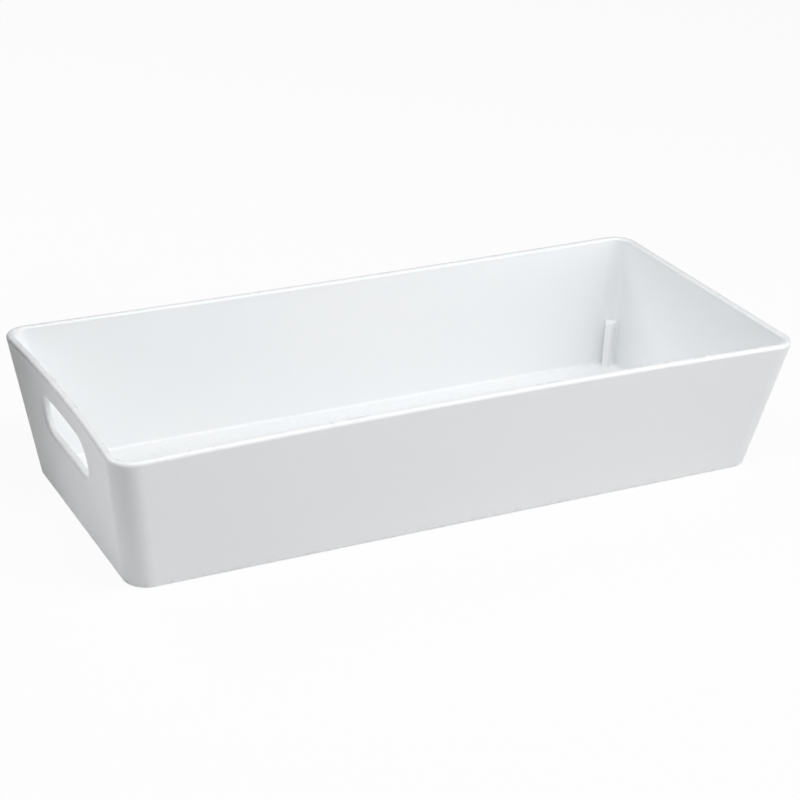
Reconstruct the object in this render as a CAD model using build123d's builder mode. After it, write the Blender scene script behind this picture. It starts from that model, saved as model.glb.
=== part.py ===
"""Open storage tray, moulded in one shot from white polypropylene.

Millimetres, +Z up.  X runs along the length, with the finger slot in the -X end wall.
The origin is the middle of the footprint, on the surface that the tray stands on.
"""
from build123d import *
from math import atan, cos, radians, sin, sqrt, tan
import os

# Overall form, with the corners taken as sharp
rim_length = 341.0
rim_width = 160.1
height = 67.5
end_draft = 9.75            # lean of the two end walls, degrees from upright
side_draft = 11.65          # lean of the two long walls
corner_radius = 11.2        # outside radius of the four upright corners

# How far each wall has drawn in at the middle of its rim as the moulding cooled
front_bow = 4.1
back_bow = 2.3
slot_end_bow = 2.9

# Shell
wall = 3.9
floor_thickness = 2.5
rim_edge_radius = 1.65      # on both sides of the rim
rim_edge_limit = 0.45       # the most that it may take, as a share of the wall
rim_land = 1.8              # upright band that the rounding is made on
base_edge_radius = 2.0
floor_corner_radius = 1.5   # between the floor and the walls, inside

# Foot ring under the floor, and the gate where the plastic was let in
foot_height = 0.8
foot_width = 5.0
foot_chamfer = 0.4
gate_dimple_diameter = 14.0
gate_dimple_depth = 0.5
gate_stub_diameter = 2.6
gate_stub_height = 0.35

# Finger slot in the -X end wall, measured on the slope of the wall
slot_length = 60.4
slot_height = 19.6
slot_drop = 22.2            # from the rim down to the middle of the slot
slot_edge_radius = 1.6      # outside the tray
slot_inner_chamfer = 0.8    # inside it

# Nesting ribs, one in each inside corner
rib_width = 3.2             # across the face of the rib
rib_reach = 7.0             # from the rounded corner to the face of the rib
rib_flare = 11.0            # how far each side opens towards the corner, in degrees
rib_edge_radius = 0.5
nest_clearance = 0.4        # between the base of a nested tray and each end wall

end_slope = tan(radians(end_draft))
side_slope = tan(radians(side_draft))
end_wall = wall / cos(radians(end_draft))       # thickness of the walls in plan
side_wall = wall / cos(radians(side_draft))
rim_level = height - rim_land
base_length = rim_length - 2 * height * end_slope
base_width = rim_width - 2 * height * side_slope
inner_radius = corner_radius - wall
rim_rounding = min(rim_edge_radius, rim_edge_limit * wall)
floor_top = foot_height + floor_thickness
# A nested tray comes to rest where the inside is longer than its base by the clearance.
ledge_height = (end_wall + nest_clearance) / end_slope


def side(start, end, bow):
    """One side of an outline, drawn in by the bow; the base outline has none."""
    if bow == 0:
        Line(start, end)
    else:
        SagittaArc(start, end, bow)


def outline(level, end_inset=0.0, side_inset=0.0, radius=corner_radius):
    """Plan of the tray at a level, moved in from the outside by the insets."""
    x = base_length / 2 + level * end_slope - end_inset
    y = base_width / 2 + level * side_slope - side_inset
    rise = level / rim_level
    with BuildSketch(Plane.XY.offset(level)) as plan:
        with BuildLine():
            side((-x, -y), (x, -y), front_bow * rise)
            Line((x, -y), (x, y))
            side((x, y), (-x, y), back_bow * rise)
            side((-x, y), (-x, -y), slot_end_bow * rise)
        make_face()
        fillet(plan.vertices(), radius)
    return plan.sketch


# The rib at the +X +Y corner is a bar that points out of the corner and leans with it.
setback = inner_radius * (1 - sqrt(0.5))
rib_plane = Plane(
    origin=(
        base_length / 2 + foot_height * end_slope - end_wall - setback,
        base_width / 2 + foot_height * side_slope - side_wall - setback,
        foot_height,
    ),
    x_dir=(1, 1, 0),
    z_dir=(0, 0, 1),
)
corner_lean = Vector(end_slope, side_slope, 1)
rib_depth = rib_reach + wall / 2        # its root ends inside the wall
rib_root_width = rib_width + 2 * rib_depth * tan(radians(rib_flare))

with BuildPart() as rib:
    with BuildSketch(rib_plane):
        with Locations((wall / 2, 0)):
            Trapezoid(
                rib_root_width,
                rib_depth,
                90 - rib_flare,
                rotation=90,
                align=(Align.CENTER, Align.MIN),
            )
    extrude(amount=(ledge_height - foot_height) * corner_lean.length, dir=corner_lean)
    front = rib.faces().sort_by(Axis((0, 0, 0), (1, 1, 0)))[0]
    fillet(front.edges(), rib_edge_radius)

# The space inside the tray, with a groove in each corner where a rib stands.
with BuildPart() as cavity:
    loft(
        sections=[outline(z, end_wall, side_wall, inner_radius) for z in (floor_top, rim_level)],
        ruled=True,
    )
    extrude(outline(rim_level, end_wall, side_wall, inner_radius), amount=rim_land)
    fillet(cavity.faces().sort_by(Axis.Z)[0].edges(), floor_corner_radius)
    far_ribs = [rib.part, mirror(rib.part, about=Plane.XZ, mode=Mode.PRIVATE)]
    slot_end_ribs = [mirror(bar, about=Plane.YZ, mode=Mode.PRIVATE) for bar in far_ribs]
    add(far_ribs + slot_end_ribs, mode=Mode.SUBTRACT)

# The slot's plane touches the outside of the -X end wall at its middle: x runs along the
# width of the tray, and y up the slope.
slot_wall_slope = end_slope - slot_end_bow / rim_level
slot_tilt = atan(slot_wall_slope)
slot_level = height - slot_drop * cos(slot_tilt)
slot_plane = Plane(
    origin=(-base_length / 2 - slot_level * slot_wall_slope, 0, slot_level),
    x_dir=(0, -1, 0),
    z_dir=(-cos(slot_tilt), 0, -sin(slot_tilt)),
)

with BuildPart() as tray:
    loft(sections=[outline(0), outline(rim_level)], ruled=True)
    extrude(outline(rim_level), amount=rim_land)
    fillet(tray.faces().sort_by(Axis.Z)[0].edges(), base_edge_radius)
    add(cavity.part, mode=Mode.SUBTRACT)
    fillet(tray.faces().sort_by(Axis.Z)[-1].edges(), rim_rounding)

    with BuildSketch(slot_plane):
        SlotOverall(slot_length, slot_height)
    extrude(amount=2 * wall, both=True, mode=Mode.SUBTRACT)
    through = Axis(slot_plane.origin, slot_plane.z_dir)
    slot_edges = tray.edges(Select.LAST).filter_by(through, reverse=True)
    depths = {edge: slot_plane.to_local_coords(edge.center()).Z for edge in slot_edges}
    fillet([edge for edge in slot_edges if depths[edge] > -wall / 2], slot_edge_radius)
    chamfer([edge for edge in slot_edges if depths[edge] < -wall / 2], slot_inner_chamfer)

    # The floor is drawn up inside the foot ring.
    extrude(outline(0, foot_width, foot_width), amount=foot_height, mode=Mode.SUBTRACT)
    chamfer(tray.edges(Select.LAST).group_by(Axis.Z)[0], foot_chamfer)

    with BuildSketch(Plane.XY.offset(foot_height)):
        Circle(gate_dimple_diameter / 2)
    extrude(amount=gate_dimple_depth, mode=Mode.SUBTRACT)
    with BuildSketch(Plane.XY.offset(foot_height + gate_dimple_depth)):
        Circle(gate_stub_diameter / 2)
    extrude(amount=-gate_stub_height)

tray.part.label = "tray"
os.makedirs("parts", exist_ok=True)
export_step(tray.part, "parts/tray.step")
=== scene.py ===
import bpy
import math
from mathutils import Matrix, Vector


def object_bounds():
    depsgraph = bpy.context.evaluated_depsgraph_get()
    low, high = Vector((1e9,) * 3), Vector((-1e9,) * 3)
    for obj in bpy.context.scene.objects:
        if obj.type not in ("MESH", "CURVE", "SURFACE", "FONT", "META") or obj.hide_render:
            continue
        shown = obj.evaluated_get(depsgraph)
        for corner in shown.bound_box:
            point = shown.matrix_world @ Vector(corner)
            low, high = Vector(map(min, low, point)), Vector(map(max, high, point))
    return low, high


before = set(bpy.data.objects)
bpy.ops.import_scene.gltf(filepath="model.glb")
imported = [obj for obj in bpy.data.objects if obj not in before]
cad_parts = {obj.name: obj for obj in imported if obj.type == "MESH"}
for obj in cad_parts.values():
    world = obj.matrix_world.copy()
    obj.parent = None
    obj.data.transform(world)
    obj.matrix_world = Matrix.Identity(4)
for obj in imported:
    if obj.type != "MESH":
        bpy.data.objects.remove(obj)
cad_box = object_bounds()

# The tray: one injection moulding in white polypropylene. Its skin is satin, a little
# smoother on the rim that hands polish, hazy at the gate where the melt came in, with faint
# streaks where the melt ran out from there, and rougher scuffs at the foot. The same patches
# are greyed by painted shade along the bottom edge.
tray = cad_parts["tray"]
RIM_TOP = cad_box[1][2]

# The heights above the table between which each mark gives way to the plain wall.
FOOT_FADES = (0.0006, 0.0050)
FLOOR_FADES = (0.003, 0.010)
RIM_BEGINS = (RIM_TOP - 0.005, RIM_TOP - 0.001)

# The distances from the gate, in the middle of the floor, over which its marks come and go.
HAZE_FADES = (0.007, 0.032)
STREAKS_BEGIN = (0.008, 0.030)
STREAKS_FADE = (0.05, 0.15)

COOL_WHITE = (0.872, 0.890, 0.903, 1)
WARMER_WHITE = (0.884, 0.895, 0.902, 1)
STREAK_WHITE = (0.846, 0.866, 0.880, 1)
# The grey at the foot, and how strongly it shows, are painted shade along the bottom edge.
FOOT_SHADE_GREY = (0.720, 0.725, 0.720, 1)
STREAKS_SHOW = 0.35
FOOT_SHADE_SHOW = 0.45

SATIN = 0.32
GRAIN_HEIGHT = 0.0000025
WAVE_HEIGHT = 0.000085


class Shade:
    """A socket of a material, reckoned with like a number."""

    def __init__(self, tree, socket):
        self.tree = tree
        self.socket = socket

    def node(self, kind, settings, sockets):
        """Adds a node: its settings first, then the value or the link of each socket."""
        made = self.tree.nodes.new(kind)
        for name, setting in settings.items():
            setattr(made, name, setting)
        for name, given in sockets.items():
            if isinstance(given, Shade):
                self.tree.links.new(given.socket, made.inputs[name])
            else:
                made.inputs[name].default_value = given
        return [Shade(self.tree, socket) for socket in made.outputs]

    def reckon(self, operation, first, second, clamp=False):
        settings = {"operation": operation, "use_clamp": clamp}
        return self.node("ShaderNodeMath", settings, {0: first, 1: second})[0]

    def __add__(self, other):
        return self.reckon("ADD", self, other)

    def __radd__(self, other):
        return self.reckon("ADD", other, self)

    def __sub__(self, other):
        return self.reckon("SUBTRACT", self, other)

    def __rsub__(self, other):
        return self.reckon("SUBTRACT", other, self)

    def __mul__(self, other):
        return self.reckon("MULTIPLY", self, other)

    def __rmul__(self, other):
        return self.reckon("MULTIPLY", other, self)

    def __pow__(self, other):
        return self.reckon("POWER", self, other)

    def between(self, low, high):
        """0 at low and 1 at high, and no further beyond them."""
        return self.reckon("DIVIDE", self - low, high - low, clamp=True)

    def tint(self, factor, under, over):
        """The colour under, and over it the colour over, as strongly as the factor."""
        sockets = {0: factor, 6: under, 7: over}
        return self.node("ShaderNodeMix", {"data_type": "RGBA"}, sockets)[2]


def material_of(name, constants):
    """A new material, its shader with these sockets set, and the place of each point."""
    material = bpy.data.materials.new(name)
    material.use_nodes = True
    tree = material.node_tree
    shader = tree.nodes["Principled BSDF"]
    for socket, constant in constants.items():
        shader.inputs[socket].default_value = constant
    place = Shade(tree, tree.nodes.new("ShaderNodeTexCoord").outputs["Object"])
    return material, shader, place


def white_polypropylene():
    # Polypropylene lets a little light in before it scatters back.
    constants = {
        "IOR": 1.49,
        "Subsurface Weight": 0.12,
        "Subsurface Radius": (1.0, 0.95, 0.9),
        "Subsurface Scale": 0.0016,
    }
    material, skin, place = material_of("white_polypropylene", constants)
    across, along, height = place.node("ShaderNodeSeparateXYZ", {}, {"Vector": place})

    def mottle(patch, detail, at=place):
        """Cloudy values near 0.5, in patches about as large as the size given in metres."""
        sockets = {"Vector": at, "Scale": 1 / patch, "Detail": detail}
        return place.node("ShaderNodeTexNoise", {}, sockets)[0]

    # The gate's haze, and the streaks that run out from it over the floor.
    from_gate = (across * across + along * along) ** 0.5
    flat = place.node("ShaderNodeCombineXYZ", {}, {"X": across, "Y": along})[0]
    away = place.node("ShaderNodeVectorMath", {"operation": "NORMALIZE"}, {0: flat})[0]
    floor_only = 1 - height.between(*FLOOR_FADES)
    streaks = mottle(patch=0.16, detail=3, at=away).between(low=0.42, high=0.68) * floor_only
    streaks = streaks * from_gate.between(*STREAKS_BEGIN)
    streaks = streaks * (1 - from_gate.between(*STREAKS_FADE))
    haze = (1 - from_gate.between(*HAZE_FADES)) * floor_only

    # The rougher scuffs on the foot and low on the walls, whose patches also carry painted
    # shade, the rim, and the clouds of the satin.
    foot = 1 - height.between(*FOOT_FADES)
    # These patches are rougher, and they are also where the painted shade greys the foot.
    scuffs_and_foot_shade = mottle(patch=0.003, detail=4).between(low=0.50, high=0.64) * foot
    rim = height.between(*RIM_BEGINS)
    clouds = mottle(patch=0.011, detail=4).between(low=0.30, high=0.70)

    # Pigment: cool white, a touch warmer in broad patches, and greyer in patches at the foot,
    # which is painted shade along the bottom edge.
    drift = mottle(patch=0.085, detail=2).between(low=0.36, high=0.64)
    colour = place.tint(drift, COOL_WHITE, WARMER_WHITE)
    colour = place.tint(streaks * STREAKS_SHOW, colour, STREAK_WHITE)
    colour = place.tint(scuffs_and_foot_shade * FOOT_SHADE_SHOW, colour, FOOT_SHADE_GREY)
    place.tree.links.new(colour.socket, skin.inputs["Base Color"])

    # Skin: satin all over, and how much rougher or smoother each mark makes it.
    changes = ((clouds, 0.04), (haze, 0.10), (streaks, 0.05), (scuffs_and_foot_shade, 0.20), (rim, -0.06))
    rough = SATIN
    for mark, change in changes:
        rough = rough + change * mark
    place.tree.links.new(rough.socket, skin.inputs["Roughness"])

    # Relief: the fine grain of the mould, and the slow waves of a thin wall.
    grain = GRAIN_HEIGHT * mottle(patch=0.00045, detail=2)
    waves = WAVE_HEIGHT * mottle(patch=0.026, detail=1)
    sockets = {"Strength": 1.0, "Distance": 1.0, "Height": grain + waves}
    bump = place.node("ShaderNodeBump", {}, sockets)[0]
    place.tree.links.new(bump.socket, skin.inputs["Normal"])
    return material


tray.data.materials[0] = white_polypropylene()

# The table: a plain pale board. The camera and reflections see it as white, apart from the
# tray's shadow on it, and it lights the underside of the walls as a real table does.
TABLE_WIDTH = 8
TABLE_SHOWN_WHITE = 0.94
WHITE = (1, 1, 1, 1)

for piece in bpy.context.selected_objects:
    piece.select_set(False)
bpy.ops.mesh.primitive_plane_add(size=TABLE_WIDTH, location=(0, 0, 0))
table = bpy.context.object
table.name = "table"
board_finish = {
    "Base Color": (0.75, 0.75, 0.75, 1),
    "Roughness": 0.85,
    "Specular IOR Level": 0.2,
}
pale_board, board, place = material_of("pale_board", board_finish)
pale_board.cycles.emission_sampling = "NONE"


def seen_directly(place):
    """1 for rays from the camera, and for those that a glossy or clear surface sends on."""
    rays = place.node("ShaderNodeLightPath", {}, {})
    camera_ray, glossy_ray, transmission_ray = rays[0], rays[3], rays[6]
    glossy_or_clear = place.reckon("MAXIMUM", glossy_ray, transmission_ray)
    return place.reckon("MAXIMUM", camera_ray, glossy_or_clear)


glow = place.node("ShaderNodeEmission", {}, {"Color": WHITE, "Strength": 1.0})[0]
lit = Shade(place.tree, board.outputs[0])
shown = seen_directly(place) * TABLE_SHOWN_WHITE
surface = place.node("ShaderNodeMixShader", {}, {0: shown, 1: lit, 2: glow})[0]
place.tree.links.new(surface.socket, place.tree.nodes["Material Output"].inputs["Surface"])
table.data.materials.append(pale_board)

# The room: an even pale surround that gives a little light from all sides, and that the
# camera and reflections see as plain white.
ROOM_LIGHT = 0.03

surround = bpy.data.worlds.new("surround")
bpy.context.scene.world = surround
surround.use_nodes = True
surround.cycles.sampling_method = "NONE"
tree = surround.node_tree
around = Shade(tree, tree.nodes.new("ShaderNodeTexCoord").outputs["Generated"])
fill = around.node("ShaderNodeBackground", {}, {"Color": WHITE, "Strength": ROOM_LIGHT})[0]
white = around.node("ShaderNodeBackground", {}, {"Color": WHITE, "Strength": 1.0})[0]
room = around.node("ShaderNodeMixShader", {}, {0: seen_directly(around), 1: fill, 2: white})[0]
tree.links.new(room.socket, tree.nodes["World Output"].inputs["Surface"])

# The lamps: soft boxes above the tray and round it. None is seen by the camera.
MIDDLE = (0, 0, 0.03)
ABOVE_THE_BACK = (0, 0.1, 0.03)
COOL_LIGHT = (0.95, 0.98, 1.0)


def soft_box(name, place, aim, size, watts, colour=(1, 1, 1)):
    lamp = bpy.data.lights.new(name, "AREA")
    lamp.shape = "RECTANGLE"
    lamp.size, lamp.size_y = size
    lamp.energy = watts
    lamp.color = colour
    holder = bpy.data.objects.new(name, lamp)
    bpy.context.scene.collection.objects.link(holder)
    holder.location = place
    holder.rotation_euler = (Vector(aim) - Vector(place)).to_track_quat("-Z", "Y").to_euler()
    holder.visible_camera = False


soft_box("box_above", (0, -0.35, 0.9), ABOVE_THE_BACK, (0.6, 0.3), watts=4.7)
soft_box("box_above_right", (0.8, -0.9, 1.2), MIDDLE, (0.7, 0.7), watts=6.6)
soft_box("box_front_right", (1.1, -1.2, 0.5), MIDDLE, (0.8, 0.8), watts=6.6)
soft_box("box_left", (-0.98, 0.17, 0.87), MIDDLE, (0.5, 0.5), watts=2.9, colour=COOL_LIGHT)
soft_box("box_behind_left", (-0.46, 0.80, 0.95), MIDDLE, (0.5, 0.5), watts=4.7)

# The flags: two matt black boards, which the camera doesn't see. The one beside the far end
# of the slotted wall keeps light off it, so that the wall darkens towards the back. The one
# behind the tray is only seen in reflections, and draws the dark edge along the far rims.
felt_finish = {
    "Base Color": (0.02, 0.02, 0.02, 1),
    "Roughness": 1.0,
    "Specular IOR Level": 0.0,
}
matt_black = material_of("matt_black", felt_finish)[0]


def board_flag(name, place, size):
    bpy.ops.mesh.primitive_cube_add(size=1, location=place, scale=size)
    flag = bpy.context.object
    flag.name = name
    flag.data.materials.append(matt_black)
    flag.visible_camera = False
    return flag


board_flag("flag_beside", place=(-0.235, 0.16, 0.08), size=(0.004, 0.24, 0.16))
behind = board_flag("flag_behind", place=(0.35, 0.36, 0.30), size=(1.9, 0.004, 0.60))
behind.visible_diffuse = False
behind.visible_shadow = False

# The camera: a long lens above the slotted end, as in the photograph.
CAMERA_PLACE = (-0.426776, -0.841404, 0.466732)
CAMERA_TURNS = (65.36862, -1.62594, -26.14903)      # degrees about X, Y and Z

camera = bpy.data.cameras.new("camera")
camera.sensor_width = 36
camera.lens = 98.575
viewer = bpy.data.objects.new("camera", camera)
bpy.context.scene.collection.objects.link(viewer)
viewer.location = CAMERA_PLACE
viewer.rotation_euler = [math.radians(turn) for turn in CAMERA_TURNS]
bpy.context.scene.camera = viewer
bpy.context.scene.view_settings.view_transform = "Standard"
